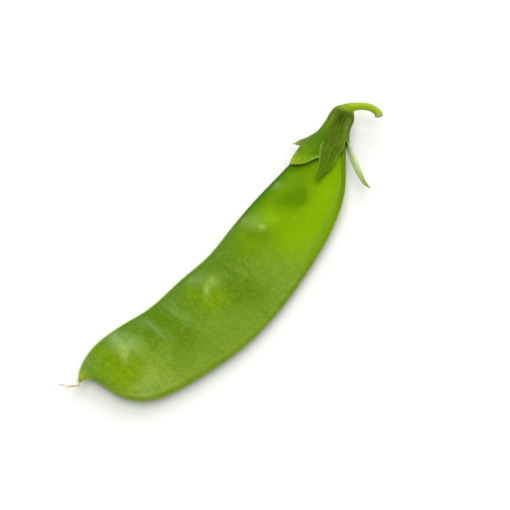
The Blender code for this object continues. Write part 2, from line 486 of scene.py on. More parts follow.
@dataclass(frozen=True)
class PodSkin:
    """The pod's skin: yellow-green, with painted light where light comes through, olive over the seeds,
    grey with wax bloom and painted sheen, with painted shade by the neck's ventral seam and painted
    highlights on the seeds.

    broad and stripes name the colours that are laid on in turn, each where the mask of its name says: the
    broad ones cloudily, the stripes as they are. grains are the fine patterns over them: a colour, the noise
    that carries it, where in the noise it starts and is full, and its share everywhere and with the bloom.
    """

    olive: Colour = srgb(95, 131, 16)
    fresh: Colour = srgb(107, 148, 0)
    glow: Colour = srgb(130, 172, 0)
    # painted shade: deep green along the ventral seam of the neck, stronger towards the calyx; the same
    # colour darkens the fine grain
    deep_and_shade: Colour = srgb(78, 130, 0)
    cool: Colour = srgb(88, 126, 34)
    sage: Colour = srgb(117, 148, 44)
    light: Colour = srgb(143, 170, 60)
    veil: Colour = srgb(128, 161, 44)
    shade: Colour = srgb(84, 121, 12)
    spot: Colour = srgb(86, 130, 0)
    gold: Colour = srgb(122, 155, 0)
    # wax bloom, partly painted sheen: pale grey-green hazes where the skin catches the light; also the pale
    # grain and cross streaks
    wax_and_sheen: Colour = srgb(150, 178, 112)
    glint: Colour = srgb(168, 192, 92)
    band: Colour = srgb(98, 130, 0)
    rim: Colour = srgb(124, 153, 36)
    rib: Colour = srgb(134, 168, 52)
    seam: Colour = srgb(58, 98, 0)
    # painted shade: a dark line in the crease inside the pale ventral edge
    crease_shade: Colour = srgb(62, 104, 10)
    edge: Colour = srgb(158, 204, 96)
    beak: Colour = srgb(158, 176, 44)
    broad: tuple = ("fresh", "sage", "cool", "light", "glow", "veil", "deep_and_shade", "shade", "spot", "gold", "wax_and_sheen")
    stripes: tuple = ("seam", "crease_shade", "band", "rim", "rib", "edge", "glint", "beak")
    grains: tuple = (
        ("shade", "veins", 0.50, 0.72, 0.05, 0.30),
        ("deep_and_shade", "pebble", 0.50, 0.72, 0.12, 0.14),
        ("wax_and_sheen", "pebble", 0.50, 0.30, 0.03, 0.05),
        ("deep_and_shade", "fine", 0.45, 0.65, 0.12, 0.16),
        ("light", "fine", 0.55, 0.35, 0.02, 0.20),
    )
    # the least roughness, and what the fine grain adds
    roughness: float = 0.36
    grain_roughness: float = 0.16
    sheen: Sheen = Sheen(shine=0.22, tint=(0.75, 1.0, 0.0), inside=0.2, reach=(0.8, 1.0, 0.05), depth=1.0)

    def dress(self, obj: bpy.types.Object) -> None:
        """Gives the pod its finish.

        Args:
            obj: The pod, with its masks as attributes.
        """
        g = Graph("pod_skin")
        cloud = g.noise(size=5.0, detail=3, twist=0.6)
        noises = {
            "fine": g.noise(size=0.42, detail=3),
            "pebble": g.noise(size=1.1, detail=3),
            "veins": g.noise(size=1.3, detail=3, stretch=(1.0, 0.22, 1.0), twist=0.3),
        }
        bloom = g.attribute("bloom")
        colour = self.olive
        for name in self.broad:
            share = (g.attribute(name) * (0.75 + 0.5 * cloud)).clipped()
            colour = g.mix(colour, getattr(self, name), share)
        for name in self.stripes:
            colour = g.mix(colour, getattr(self, name), g.attribute(name))
        for name, noise, start, full, everywhere, bloomy in self.grains:
            share = noises[noise].step(start, full) * (everywhere + bloomy * bloom)
            colour = g.mix(colour, getattr(self, name), share)
        g.set("Base Color", colour)
        g.set("Roughness", self.roughness + self.grain_roughness * noises["fine"])
        g.bump(noises["fine"], distance_mm=0.04, strength=0.4)
        self.sheen.lay_on(g)
        obj.data.materials.append(g.material)


@dataclass(frozen=True)
class SepalSkin:
    """The calyx: darker leafy green with paler veins and margins, and dry tips.

    blotches name the colours that are laid on cloudily, and lining those of the inner side.
    """

    leaf: Colour = srgb(62, 86, 8)
    light: Colour = srgb(80, 108, 14)
    green: Colour = srgb(72, 118, 0)
    bright: Colour = srgb(106, 148, 12)
    yellow: Colour = srgb(104, 134, 0)
    gold: Colour = srgb(158, 186, 36)
    dark: Colour = srgb(42, 64, 0)
    joint: Colour = srgb(126, 160, 20)
    brown: Colour = srgb(100, 108, 26)
    pale: Colour = srgb(182, 204, 116)
    # the lobes' whitish inner side, partly painted light where the cup shades it
    chalk_and_painted_light: Colour = srgb(236, 242, 206)
    margin: Colour = srgb(150, 186, 62)
    dry: Colour = srgb(158, 160, 104)
    blotches: tuple = ("dark", "yellow", "joint", "brown")
    lining: tuple = ("pale", "chalk_and_painted_light")
    vein_share: float = 0.25
    freckle_share: float = 0.5
    # the least roughness, and what the fine grain adds
    roughness: float = 0.45
    grain_roughness: float = 0.25
    sheen: Sheen = Sheen(shine=0.2, tint=(0.8, 1.0, 0.1), inside=0.15, reach=(0.5, 0.8, 0.1), depth=0.6)

    def dress(self, obj: bpy.types.Object) -> None:
        """Gives the calyx its finish.

        Args:
            obj: The calyx, with its masks as attributes.
        """
        g = Graph("calyx_green")
        cloud = g.noise(size=1.1, detail=4, twist=0.3)
        fine = g.noise(size=0.3, detail=3)
        colour = g.mix(self.leaf, self.light, cloud.step(0.25, 0.75))
        colour = g.mix(colour, self.green, g.attribute("green") * (0.55 + 0.6 * cloud))
        freckle = fine.step(0.5, 0.7) * (0.15 + 0.5 * g.attribute("bright"))
        colour = g.mix(colour, self.bright, (g.attribute("bright") * cloud.step(0.3, 0.7)).clipped())
        colour = g.mix(colour, self.gold, freckle.clipped() * self.freckle_share)
        for name in self.blotches:
            colour = g.mix(colour, getattr(self, name), (g.attribute(name) * (0.5 + cloud)).clipped())
        colour = g.mix(colour, self.bright, (g.attribute("vein") * self.vein_share).clipped())
        colour = g.mix(colour, self.gold, g.attribute("gold") * (0.55 + 0.35 * cloud))
        for name in self.lining:
            colour = g.mix(colour, getattr(self, name), g.attribute(name) * g.attribute("inner"))
        colour = g.mix(colour, self.margin, g.attribute("margin"))
        g.set("Base Color", g.mix(colour, self.dry, g.attribute("tip")))
        g.set("Roughness", self.roughness + self.grain_roughness * fine)
        g.bump(fine, distance_mm=0.05, strength=0.6)
        self.sheen.lay_on(g)
        obj.data.materials.append(g.material)


@dataclass(frozen=True)
class StalkSkin:
    """The stalk: green at the calyx, then bright yellow-green, with a pale dry cut."""

    base: Colour = srgb(122, 156, 18)
    green: Colour = srgb(156, 186, 28)
    cut: Colour = srgb(162, 164, 104)
    brown: Colour = srgb(130, 124, 70)
    # shares of the stalk's length, from the calyx: where it turns yellow-green, and where it dries
    turning: tuple[float, float] = (0.12, 0.42)
    drying: tuple[float, float] = (0.86, 1.0)
    dried_share: float = 0.6
    sheen: Sheen = Sheen(shine=0.3, tint=(0.8, 1.0, 0.5), inside=0.15, reach=(0.6, 0.9, 0.1), depth=0.6)

    def dress(self, obj: bpy.types.Object) -> None:
        """Gives the stalk its finish.

        Args:
            obj: The stalk, with its masks as attributes.
        """
        g = Graph("stalk_green")
        streak = g.noise(size=0.5, detail=3)
        colour = g.mix(self.base, self.green, g.attribute("along").step(*self.turning))
        colour = g.mix(colour, self.base, (streak - 0.5).clipped() * 0.8)
        colour = g.mix(colour, self.cut, g.attribute("along").step(*self.drying) * self.dried_share)
        cut = g.mix(self.cut, self.brown, streak.step(0.45, 0.7))
        g.set("Base Color", g.mix(colour, cut, g.attribute("cut")))
        g.set("Roughness", 0.45)
        g.bump(streak, distance_mm=0.05, strength=0.6)
        self.sheen.lay_on(g)
        obj.data.materials.append(g.material)


@dataclass(frozen=True)
class ThreadSkin:
    """The dried style: pale tan, browner in patches."""

    tan: Colour = srgb(226, 212, 176)
    brown: Colour = srgb(206, 168, 112)

    def dress(self, obj: bpy.types.Object) -> None:
        """Gives the style its finish.

        Args:
            obj: The style.
        """
        g = Graph("style_tan")
        patch = g.noise(size=0.8, detail=2)
        g.set("Base Color", g.mix(self.tan, self.brown, patch.step(0.45, 0.62)))
        g.set("Roughness", 0.8)
        g.bump(patch, distance_mm=0.03, strength=0.5)
        obj.data.materials.append(g.material)


@dataclass(frozen=True)
class Paper:
    """The plain pale floor."""

    white: Colour = (0.99, 0.975, 0.965)

    def dress(self, obj: bpy.types.Object) -> None:
        """Gives the floor its finish.

        Args:
            obj: The floor.
        """
        g = Graph("floor_white")
        g.set("Base Color", self.white)
        g.set("Roughness", 0.9)
        g.set("Specular IOR Level", 0.1)
        obj.data.materials.append(g.material)


@dataclass
class Pod:
    """The pod's two walls with their seams, seeds and beak, in the construction's millimetres."""

    # ventral x, y, dorsal x, y, half thickness, middle height, from the neck to the beak
    ribs: tuple = (
        (82.1, 6.1, 82.9, 3.7, 1.15, 4.35),
        (80.6, 6.15, 81.8, 2.8, 1.30, 4.28),
        (78.3, 5.6, 79.9, 1.5, 1.40, 4.15),
        (74.3, 5.2, 76.6, -1.8, 1.55, 3.90),
        (69.2, 5.15, 72.05, -6.25, 1.80, 3.55),
        (63.2, 4.8, 66.75, -10.0, 2.00, 3.10),
        (55.0, 4.3, 58.5, -13.35, 2.15, 2.55),
        (46.2, 3.18, 48.6, -15.92, 2.25, 2.20),
        (38.1, 2.0, 39.0, -17.65, 2.30, 2.12),
        (30.0, 2.1, 29.5, -18.05, 2.30, 2.12),
        (22.0, 1.95, 21.0, -17.05, 2.30, 2.14),
        (15.5, 3.05, 13.5, -15.45, 2.20, 2.22),
        (9.1, 3.8, 7.6, -13.0, 2.00, 2.30),
        (5.0, 3.25, 4.2, -8.9, 1.75, 2.42),
        (2.5, 2.3, 3.1, -4.8, 1.35, 2.52),
        (1.2, 1.4, 2.3, -1.4, 0.95, 2.60),
        (0.4, 0.6, 1.0, -0.4, 0.62, 2.66),
        (-0.05, 0.1, 0.3, -0.35, 0.40, 2.70),
    )
    # centre x, y and how far the seed lifts the wall
    seeds: tuple = (
        (60.9, -0.6, 0.35),
        (50.2, -1.9, 0.95),
        (41.6, -2.9, 0.30),
        (32.0, -4.1, 1.05),
        (21.4, -3.2, 0.30),
        (9.9, -2.7, 0.95),
    )
    # centre x, y, radius and strength of the dark marks of the upper seeds, of the yellow ones of the lower
    # seeds, of the olive patches between them, and of the hazes of wax bloom, partly painted sheen
    spots: tuple = (
        (61.2, -3.0, 2.0, 0.8),
        (62.6, -2.2, 1.6, 0.4),
        (59.6, -2.4, 2.1, 0.6),
        (58.2, -0.9, 2.0, 0.5),
        (63.4, 0.2, 1.8, 0.35),
        (67.6, 0.8, 2.6, 0.15),
        (64.2, -0.6, 2.2, 0.3),
        (46.6, -2.4, 2.4, 0.3),
        (48.9, -4.2, 1.8, 0.3),
        (45.0, -4.6, 1.8, 0.5),
        (44.4, -0.8, 2.0, 0.35),
        (3.8, -2.2, 2.3, 0.6),
    )
    golds: tuple = (
        (29.6, -2.9, 1.9, 0.8),
        (32.0, -6.7, 2.1, 0.75),
        (29.3, -6.3, 1.7, 0.5),
        (7.6, 0.6, 2.0, 0.8),
        (7.9, -3.4, 2.2, 0.95),
        (8.3, -6.4, 2.4, 0.8),
        (10.7, -5.6, 2.0, 0.6),
        (5.6, -6.6, 2.0, 0.6),
        (46.6, -1.0, 2.0, 0.5),
        (46.4, -4.0, 2.0, 0.4),
        (32.6, -8.2, 2.0, 0.4),
        (5.0, -2.2, 1.6, 0.5),
    )
    shades: tuple = (
        (37.2, -7.2, 3.2, 0.9),
        (38.4, -11.6, 3.6, 0.8),
        (38.5, -2.0, 3.0, 0.6),
        (22.6, -3.6, 3.2, 0.8),
        (21.6, -8.4, 2.9, 0.8),
        (16.6, -2.9, 1.6, 0.7),
        (20.4, -0.2, 2.2, 0.8),
        (26.3, -1.6, 2.2, 0.6),
        (33.4, -8.8, 2.6, 0.55),
        (28.8, -7.4, 1.7, 0.4),
        (16.8, -12.4, 3.0, 0.35),
    )
    # wax bloom with painted sheen: pale hazes along the ventral seam and beside the seeds' painted glints
    wax_and_sheen_hazes: tuple = (
        (11.4, 1.3, 1.9, 0.8),
        (13.6, -1.6, 1.7, 0.45),
        (11.9, -1.9, 1.3, 0.4),
        (32.3, -0.7, 1.3, 0.5),
        (50.6, 0.9, 1.5, 0.15),
        (49.4, 2.2, 1.1, 0.25),
        (60.3, 2.9, 1.0, 0.4),
        (3.8, 1.5, 1.9, 0.3),
        (8.2, -11.8, 2.2, 0.25),
        (11.6, -14.6, 1.6, 0.25),
    )
    # centre x, y, half length, half width, slant in degrees from the pod's length, and strength: the glints
    # on the seeds and the pale cross streaks
    glints: tuple = (
        (50.35, -2.2, 0.75, 0.65, 90, 0.8),
        (49.6, -0.2, 1.60, 1.20, 90, 0.30),
        (31.7, -4.6, 1.30, 0.62, 51, 0.75),
        (34.2, -3.6, 1.70, 1.30, 20, 0.5),
        (10.25, -2.75, 1.90, 0.90, 60, 1.0),
        (13.4, -3.9, 1.6, 1.3, 60, 0.3),
        (10.6, -1.0, 1.20, 1.00, 60, 0.35),
    )
    streaks: tuple = (
        (18.6, -2.6, 3.4, 0.55, 90, 0.8),
        (17.2, 0.4, 1.5, 0.50, 96, 0.35),
        (23.9, -3.6, 3.6, 0.55, 90, 0.65),
        (25.0, -1.2, 2.4, 0.55, 84, 0.35),
        (26.4, -2.6, 2.2, 0.60, 90, 0.3),
        (19.9, -6.4, 2.2, 0.50, 96, 0.35),
        (14.4, -4.2, 1.8, 0.55, 90, 0.25),
        (37.6, -4.4, 2.4, 0.60, 90, 0.25),
        (40.2, -6.0, 2.4, 0.60, 96, 0.25),
        (25.1, -5.2, 1.7, 0.60, 90, 0.4),
    )
    # centre x, y, radius and strength of the painted light on the neck: a bright spot where light comes
    # through, and one that lightens the pod under the calyx's lobe
    glows: tuple = ((53.5, -1.5, 2.6, 0.6), (69.2, 3.2, 1.8, 0.8))
    # how far the outlines of the spots, golds, shades and hazes waver
    ragged: Ripple = Ripple(seed=5, wavelength=3.0, height=0.25)

    rim_radius: float = 0.62
    full_rim_width: float = 9.0
    # height, distance from the seam and width of the bead along it, and of the groove beside that
    bead: tuple = (0.14, 0.55, 0.40)
    groove: tuple = (0.16, 1.45, 0.50)
    ventral_relief: float = 0.25
    dorsal_relief: Course = Course(0.3, ((40, 66, 0.7),))
    fullness: float = 2.5
    seed_radius: float = 2.7
    seed_fade: float = 2.0
    underside_share: float = 0.6
    streak_height: float = 0.06
    unevenness: tuple = (
        Ripple(seed=7, wavelength=9.0, height=0.05),
        Ripple(seed=9, wavelength=2.6, height=0.018, waves=12),
    )
    rows: int = 400
    columns: int = 200
    end_share: float = 0.012
    # how much of the grid's points lie evenly across the pod, the rest closer at its seams
    even_share: float = 0.15

    # The rest is where the colours lie. A pair is where one begins and is full, or begins to fade and is
    # gone, and where the name ends in place it is a place and a width. Starts, ends and places are in
    # millimetres from the beak, across is from the ventral seam, 0, to the dorsal one, 1, and edge is in
    # millimetres from the nearer seam. A course runs from the beak too, but glow_power runs across.
    neck_start: tuple = (40, 51)
    neck_slant: float = 0.3
    neck_waver: Ripple = Ripple(seed=11, wavelength=16.0, height=1.6)
    wax_end: tuple = (38, 46)
    # how much of the pale edge line, the wax with its painted sheen and the painted glints shows on the
    # lower wall
    underside_colour: float = 0.4
    glow_across: tuple = (0.18, 0.62)
    glow_power: Course = Course(0.6, ((0.4, 0.8, 0.4),))
    glow_end: tuple = (70, 78)
    veil_power: float = 0.55
    veil_across: tuple = (0.62, 0.9)
    veil_place: tuple = (49, 7.0)
    painted_shade_edge: tuple = (1.2, 3.4)
    painted_shade_power: Course = Course(0.4, ((49, 57, 0.6),))
    sage_across: tuple = (0.25, 0.6)
    cool_across: tuple = (0.08, 0.3)
    cool_start: tuple = (8, 16)
    # the light on the beak's half: over its face from a drop in y, in a line beside the dorsal seam, and all
    # along that seam
    face_power: float = 1.25
    face_drop: tuple = (5.5, 10.5)
    face_place: tuple = (9, 7.0)
    line_power: float = 0.5
    line_edge_place: tuple = (1.8, 1.4)
    line_place: tuple = (12, 7.0)
    light_power: float = 0.22
    light_across: tuple = (0.75, 0.95)
    blotch_power: float = 0.35
    blotch_place: tuple = (21, 5.0)
    blotch_across: tuple = (0.6, 0.9)
    streak_wax: float = 0.5
    # the stripes along the seams: dark on the ventral neck, the dorsal band with the pale rib inside it, the
    # pale rim and edge of the beak's half, and the painted shade of the crease inside that edge
    seam_edge: tuple = (0.5, 1.3)
    seam_power: Course = Course(0.25, ((46, 52, 0.75),))
    band_width: Course = Course(0.6, ((46, 55, 0.8), (60, 70, -0.3)))
    band_blur: float = 0.3
    band_start: tuple = (34, 44)
    band_power: Course = Course(0.45, ((62, 71, 0.45),))
    rib_from_band: float = 0.45
    rib_width: float = 0.3
    rib_start: tuple = (48, 56)
    rib_power: Course = Course(0.65, ((69, 72, -0.45),))
    rim_edge: tuple = (0.7, 1.3)
    rim_end: tuple = (32, 42)
    rim_power: float = 0.8
    pale_edge: tuple = (0.32, 0.56)
    pale_both_sides: float = 0.6
    crease_power: float = 0.55
    crease_edge_place: tuple = (0.78, 0.26)
    crease_start: tuple = (10, 18)
    beak_reach: tuple = (0.8, 3.4)

    def wall_height(self, edge: Array, width: Array, half: Array, relief: Array) -> Array:
        """Half the pod's thickness, without the seeds.

        Args:
            edge: The distance from the nearer seam.
            width: The pod's width there.
            half: Half its greatest thickness there.
            relief: How much of the seam's bead and groove shows there.

        Returns:
            The height of the wall over the pod's middle plane.
        """
        narrow = np.minimum(1.0, width / self.full_rim_width)
        rim = np.minimum(self.rim_radius * narrow, half)
        inside = np.clip(edge / rim, 0, 1)
        middle = np.clip(1 - edge / (width / 2), 0, 1)
        height = rim * np.sqrt(1 - (1 - inside) ** 2) + (half - rim) * (1 - middle**self.fullness)
        bead_height, bead_place, bead_width = self.bead
        groove_depth, groove_place, groove_width = self.groove
        seam = np.clip(edge / bead_place, 0, 1) * narrow * relief
        height += bead_height * seam * near(edge, bead_place, bead_width)
        return height - groove_depth * seam * near(edge, groove_place, groove_width)

    def seed_lift(self, x: Array, y: Array) -> Array:
        """How far the seeds lift the wall at places on the face."""
        return self.marks(((*place, self.seed_radius, lift) for *place, lift in self.seeds), x, y)

    @staticmethod
    def strokes(rows: tuple, x: Array, y: Array) -> Array:
        """How far places lie on a set of soft long marks.

        Args:
            rows: The marks' centre x, y, half length, half width, slant and strength.
            x: The places' x, in millimetres.
            y: Their y.

        Returns:
            The sum of the marks' strengths there, from 0 to 1.
        """
        total = 0
        for row_x, row_y, length, width, slant, power in rows:
            way_x, way_y = math.cos(math.radians(slant)), math.sin(math.radians(slant))
            along = (x - row_x) * way_x + (y - row_y) * way_y
            aside = (x - row_x) * way_y - (y - row_y) * way_x
            total = total + power * hill(along, length) * hill(aside, width)
        return np.clip(total, 0, 1)

    @staticmethod
    def marks(rows: Iterable, x: Array, y: Array, ragged: Array | float = 0.0) -> Array:
        """How much of a set of soft round marks lies at places.

        Args:
            rows: The marks' centre x, y, radius and strength.
            x: The places' x, in millimetres.
            y: Their y.
            ragged: How much further from every centre each place counts.

        Returns:
            The sum of the marks' strengths there.
        """
        total = 0
        for row_x, row_y, size, power in rows:
            total = total + power * hill(np.hypot(x - row_x, y - row_y) + ragged, size)
        return total

    def wrinkles(self, x: Array, y: Array, inner: Array) -> Array:
        """The relief of the skin: cross streaks and a soft unevenness."""
        uneven = sum(ripple.at(x, y) for ripple in self.unevenness)
        return inner * (self.streak_height * self.strokes(self.streaks, x, y) + uneven)

    def shape(self, u: Array, v: Array) -> dict[str, Array]:
        """The pod's points and what its skin needs to know at each.

        Args:
            u: From the neck, 0, to the beak, 1.
            v: Round the pod, from the ventral seam over the top, 0 to a half, and back under it to 1.

        Returns:
            The points in metres, and the masks of the skin's colours.
        """
        ends = np.clip(np.minimum(u, 1 - u) / self.end_share, 0, 1)
        shrink = np.sqrt(1 - (1 - ends) ** 2)
        rib = spline(self.ribs, u * (len(self.ribs) - 1))
        ventral, dorsal, half, middle = rib[:, 0:2], rib[:, 2:4], rib[:, 4], rib[:, 5]
        width = np.linalg.norm(ventral - dorsal, axis=1)
        turn = np.abs(1 - 2 * v)
        share = 0.5 + 0.5 * np.cos(math.pi * turn)
        share = (1 - self.even_share) * share + self.even_share * (1 - turn)
        top = np.where(v <= 0.5, 1.0, -1.0)
        edge = width * np.minimum(share, 1 - share)
        share = 0.5 + (share - 0.5) * shrink
        x, y = (ventral + (dorsal - ventral) * share[:, None]).T
        relief = np.where(share < 0.5, self.ventral_relief, self.dorsal_relief.at(x))
        height = self.wall_height(edge, width, half, relief)
        inner = np.clip(edge / self.seed_fade, 0, 1)
        lift = self.seed_lift(x, y) * inner
        height += self.wrinkles(x, y, inner) + np.where(top > 0, 1, self.underside_share) * lift
        z = np.maximum(middle + top * height * shrink, 0)
        made = {"points": np.stack([x, y, z], axis=1) * MM}
        made.update(self.masks(x, y, share, edge, top))
        return made

    def masks(self, x: Array, y: Array, share: Array, edge: Array, top: Array) -> dict[str, Array]:
        """Where each colour of the skin lies.

        Args:
            x: The places' x, in millimetres.
            y: Their y.
            share: How far each lies from the ventral to the dorsal seam, from 0 to 1.
            edge: The distance from the nearer seam.
            top: 1 on the upper wall and -1 on the lower one.

        Returns:
            The masks, between 0 and 1.
        """
        neck = ramp(x + self.neck_slant * y + self.neck_waver.at(x, y), *self.neck_start)
        rear = 1 - neck
        dorsal = np.where(share > 0.5, 1.0, 0.0)
        ventral = 1 - dorsal
        face = np.where(top > 0, 1.0, self.underside_colour)
        ragged = self.ragged.at(x, y)
        shade, spot, gold, wax_sheen_haze = (
            np.clip(self.marks(rows, x, y, ragged), 0, 1)
            for rows in (self.shades, self.spots, self.golds, self.wax_and_sheen_hazes)
        )
        glow = ramp(share, *self.glow_across) * self.glow_power.at(share) * fade(x, *self.glow_end)
        veil = self.veil_power * ramp(share, *self.veil_across) * near(x, *self.veil_place)
        blotch = self.blotch_power * near(x, *self.blotch_place) * fade(share, *self.blotch_across)
        low = self.face_power * ramp(-y, *self.face_drop) * near(x, *self.face_place)
        low += self.line_power * dorsal * near(edge, *self.line_edge_place) * near(x, *self.line_place)
        low += self.light_power * ramp(share, *self.light_across)
        streaks = self.streak_wax * self.strokes(self.streaks, x, y)
        wax_end = fade(x, *self.wax_end)
        seam = ventral * self.seam_power.at(x) * (1 - wax_end) * fade(edge, *self.seam_edge)
        width = self.band_width.at(x)
        band = dorsal * fade(edge, width, width + self.band_blur) * ramp(x, *self.band_start)
        rib = dorsal * near(edge, width + self.rib_from_band, self.rib_width) * ramp(x, *self.rib_start)
        rim = self.rim_power * dorsal * fade(edge, *self.rim_edge) * fade(x, *self.rim_end)
        crease_shade = self.crease_power * near(edge, *self.crease_edge_place) * ramp(x, *self.crease_start)
        pale = fade(edge, *self.pale_edge) * (self.pale_both_sides + (1 - self.pale_both_sides) * face)
        return {
            "fresh": neck,
            "glow": np.clip(neck * glow + self.marks(self.glows, x, y), 0, 1),
            "veil": veil,
            # painted shade along the ventral seam of the neck, strongest near the calyx
            "deep_and_shade": ventral * neck * fade(edge, *self.painted_shade_edge) * self.painted_shade_power.at(x),
            "sage": rear * ramp(share, *self.sage_across),
            "cool": rear * fade(share, *self.cool_across) * ramp(x, *self.cool_start),
            "light": np.clip(rear * low, 0, 1),
            "shade": np.clip(shade + blotch, 0, 1),
            "spot": spot,
            "gold": gold,
            # wax bloom, partly painted sheen, with the pale cross streaks
            "wax_and_sheen": face * np.clip(wax_sheen_haze + streaks, 0, 1),
            "seam": seam,
            "band": band * self.band_power.at(x),
            "rim": rim,
            "rib": rib * self.rib_power.at(x),
            "edge": ventral * pale * wax_end,
            # painted shade in the crease inside the ventral edge
            "crease_shade": ventral * crease_shade * wax_end,
            "glint": face * self.strokes(self.glints, x, y),
            "beak": fade(np.hypot(x, y), *self.beak_reach),
            "bloom": rear,
        }

    def build(self) -> bpy.types.Object:
        """Models the pod.

        Returns:
            Its mesh object.
        """
        obj = Bench.wrapped_grid("pea_pod", self.rows, self.columns, self.shape)
        Bench.close(obj)
        return obj


class Side(Enum):
    """Where a lobe of the calyx stands round the neck."""

    UPPER_FRONT = "upper_front"
    SIDE_FRONT = "side_front"
    LOWER = "lower"
    SIDE_BACK = "side_back"
    UPPER_BACK = "upper_back"


@dataclass(frozen=True)
class Lobe:
    """One lobe of the calyx.

    first and last are its two margins, from where it parts from its neighbour to its point, in rows of a
    station, degrees round the neck from the ventral seam, and a stand-off in millimetres. pale is how pale
    its inner side is, and bright how bright it is towards its point.
    """

    side: Side
    first: tuple
    last: tuple
    pale: float = 0.0
    bright: float = 0.0


@dataclass
class Calyx:
    """The leafy cup round the neck with its five lobes, in the construction's millimetres."""

    # centre x, y and height, half width and half thickness, from the stalk to past the lobes' tips
    stations: tuple = (
        (84.9, 5.00, 4.50, 1.20, 1.20),
        (83.7, 4.95, 4.35, 2.25, 1.75),
        (82.15, 4.70, 4.33, 2.62, 2.20),
        (79.3, 3.60, 4.20, 2.90, 2.35),
        (75.7, 1.90, 4.00, 4.35, 2.45),
        (71.2, -0.25, 3.70, 6.60, 2.70),
        (65.6, -2.4, 3.25, 8.20, 2.90),
    )
    lobes: tuple = (
        Lobe(
            Side.UPPER_FRONT,
            first=(
                (3.3, 0, 0), (3.7, 1, 0.35), (4.1, 4, 0.6), (4.45, 8, 0.6), (4.85, 16, 0.3), (5.27, 26, 0.2),
                (5.52, 32, 0.2), (5.66, 37, 0.2),
            ),
            last=(
                (4.2, 72, 0), (4.6, 83, -0.15), (4.9, 86, -0.2), (5.08, 80, -0.1), (5.22, 74, 0.0),
                (5.38, 68.5, 0.05), (5.56, 58, 0.1), (5.62, 47, 0.15), (5.66, 37, 0.2),
            ),
            bright=1.0,
        ),
        Lobe(
            Side.SIDE_FRONT,
            first=(
                (4.2, 72, 0), (4.45, 72.5, 0.15), (4.75, 76.5, 0.25), (5.03, 82, 0.25), (5.38, 86.5, 0.2),
                (5.64, 89, 0.2), (5.84, 92, 0.2), (5.95, 95, 0.2),
            ),
            last=(
                (3.6, 144, 0), (4.0, 137, 0.05), (4.36, 127, 0.1), (4.65, 116.5, 0.15), (4.9, 113.5, 0.15),
                (5.22, 109.5, 0.15), (5.55, 102.5, 0.15), (5.83, 97.5, 0.2), (5.95, 95, 0.2),
            ),
        ),
        Lobe(
            Side.LOWER,
            first=(
                (3.6, 144, 0), (3.85, 157.5, 0.33), (4.36, 172.5, 1.18), (4.83, 181, 2.4), (5.05, 183, 3.3),
                (5.21, 185, 4.6),
            ),
            last=(
                (3.5, 216, 0), (4.15, 193.3, -0.37), (4.68, 186.1, 0.3), (4.92, 186.4, 1.13),
                (5.1, 186.4, 2.29), (5.2, 185.8, 3.38), (5.21, 185, 4.6),
            ),
            pale=1.0,
        ),
        Lobe(
            Side.SIDE_BACK,
            first=((3.5, 216, 0), (4.0, 214, 0.05), (4.6, 222, 0.1), (5.1, 238, 0.1), (5.3, 252, 0.1)),
            last=((3.6, 288, 0), (4.1, 290, 0.05), (4.6, 282, 0.1), (5.1, 266, 0.1), (5.3, 252, 0.1)),
        ),
        Lobe(
            Side.UPPER_BACK,
            first=((3.6, 288, 0), (4.0, 310, 0.3), (4.25, 335, 0.7), (4.42, 350, 1.3), (4.49, 360, 2.28)),
            last=(
                (3.3, 360, 0), (3.7, 361, 0.6), (4.09, 364, 1.3), (4.25, 363, 1.85), (4.37, 361, 2.1),
                (4.49, 360, 2.28),
            ),
            pale=1.0,
            bright=0.8,
        ),
    )
    thickness: float = 0.38
    # how much thinner the blade is at its margins
    margin_thinning: float = 0.6
    rows: int = 72
    columns: int = 24
    # the share of a sector's length that belongs to the cup, and that of a lobe over which its margins part
    joined_share: float = 0.45
    parting_share: float = 0.15
    # where the side veins run, from a lobe's middle, 0, to its margin, 1
    side_vein: float = 0.45
    # the middle vein and the side veins: height and width of their ridges, strength and width of their lines
    vein_ridges: tuple = ((0.07, 0.12), (0.03, 0.1))
    vein_lines: tuple = ((1.0, 0.08), (0.5, 0.06))
    # how much lower the ridges are at a lobe's point
    ridge_loss: float = 0.5
    uneven: Ripple = Ripple(seed=21, wavelength=3.0, height=0.05)
    # the patches of colour on the cup: its name, its station and reach along the cup, its degrees and reach
    # round the neck, and its strength
    patches: tuple = (
        ("margin", 2.9, 1.1, 138, 14, 0.28),
        ("dark", 2.45, 0.75, 98, 24, 1.0),
        ("yellow", 2.9, 0.6, 59, 8, 1.0),
        ("brown", 2.6, 0.6, 74, 5, 0.6),
        ("brown", 4.1, 0.4, 127, 10, 0.8),
    )
    # where the other colours begin and are full, or begin to fade and are gone: by station, by degrees round
    # the neck, and by the share of a lobe's length
    green_stations: tuple = (1.9, 3.2)
    green_degrees: tuple = (58, 86)
    point_stations: tuple = (4.6, 5.4)
    point_green: float = 0.7
    # the bright joint with the stalk reaches less far along the dorsal side, by so much in each station
    joint_stations: tuple = (0.9, 2.2)
    joint_loss: tuple = (0.6, 0.9)
    joint_loss_degrees: tuple = (85, 125)
    bright_share: tuple = (0.1, 0.6)
    gold_share: tuple = (0.5, 0.85)
    tip_share: tuple = (0.94, 1.0)
    margin_power: float = 0.9
    # the pale lining of a lobe: its strength along it, its stripes across it, and the strip that it leaves
    # along the cup's margins, which closes where the lobe parts
    lining_stations: tuple = (2.6, 4.0)
    lining_power: Course = Course(0.85, ((0.4, 1.0, -0.3),))
    lining_stripes: float = 0.15
    stripe_turn: float = 9.0
    lining_inset: float = 0.15
    inset_closed: Course = Course(0.0, ((0, 0.08, 3.0),))
    # the whiter part of the lining, partly painted light where the cup shades the lower lobe, and where it
    # is lost, by the share across the lobe and along it
    chalk_power: float = 0.65
    chalk_start: tuple = (0.0, 0.1)
    chalk_end: tuple = (0.4, 0.75)
    chalk_lost: float = 0.9
    chalk_lost_across: tuple = (0.25, 0.65)
    chalk_lost_along: tuple = (0.12, 0.35)

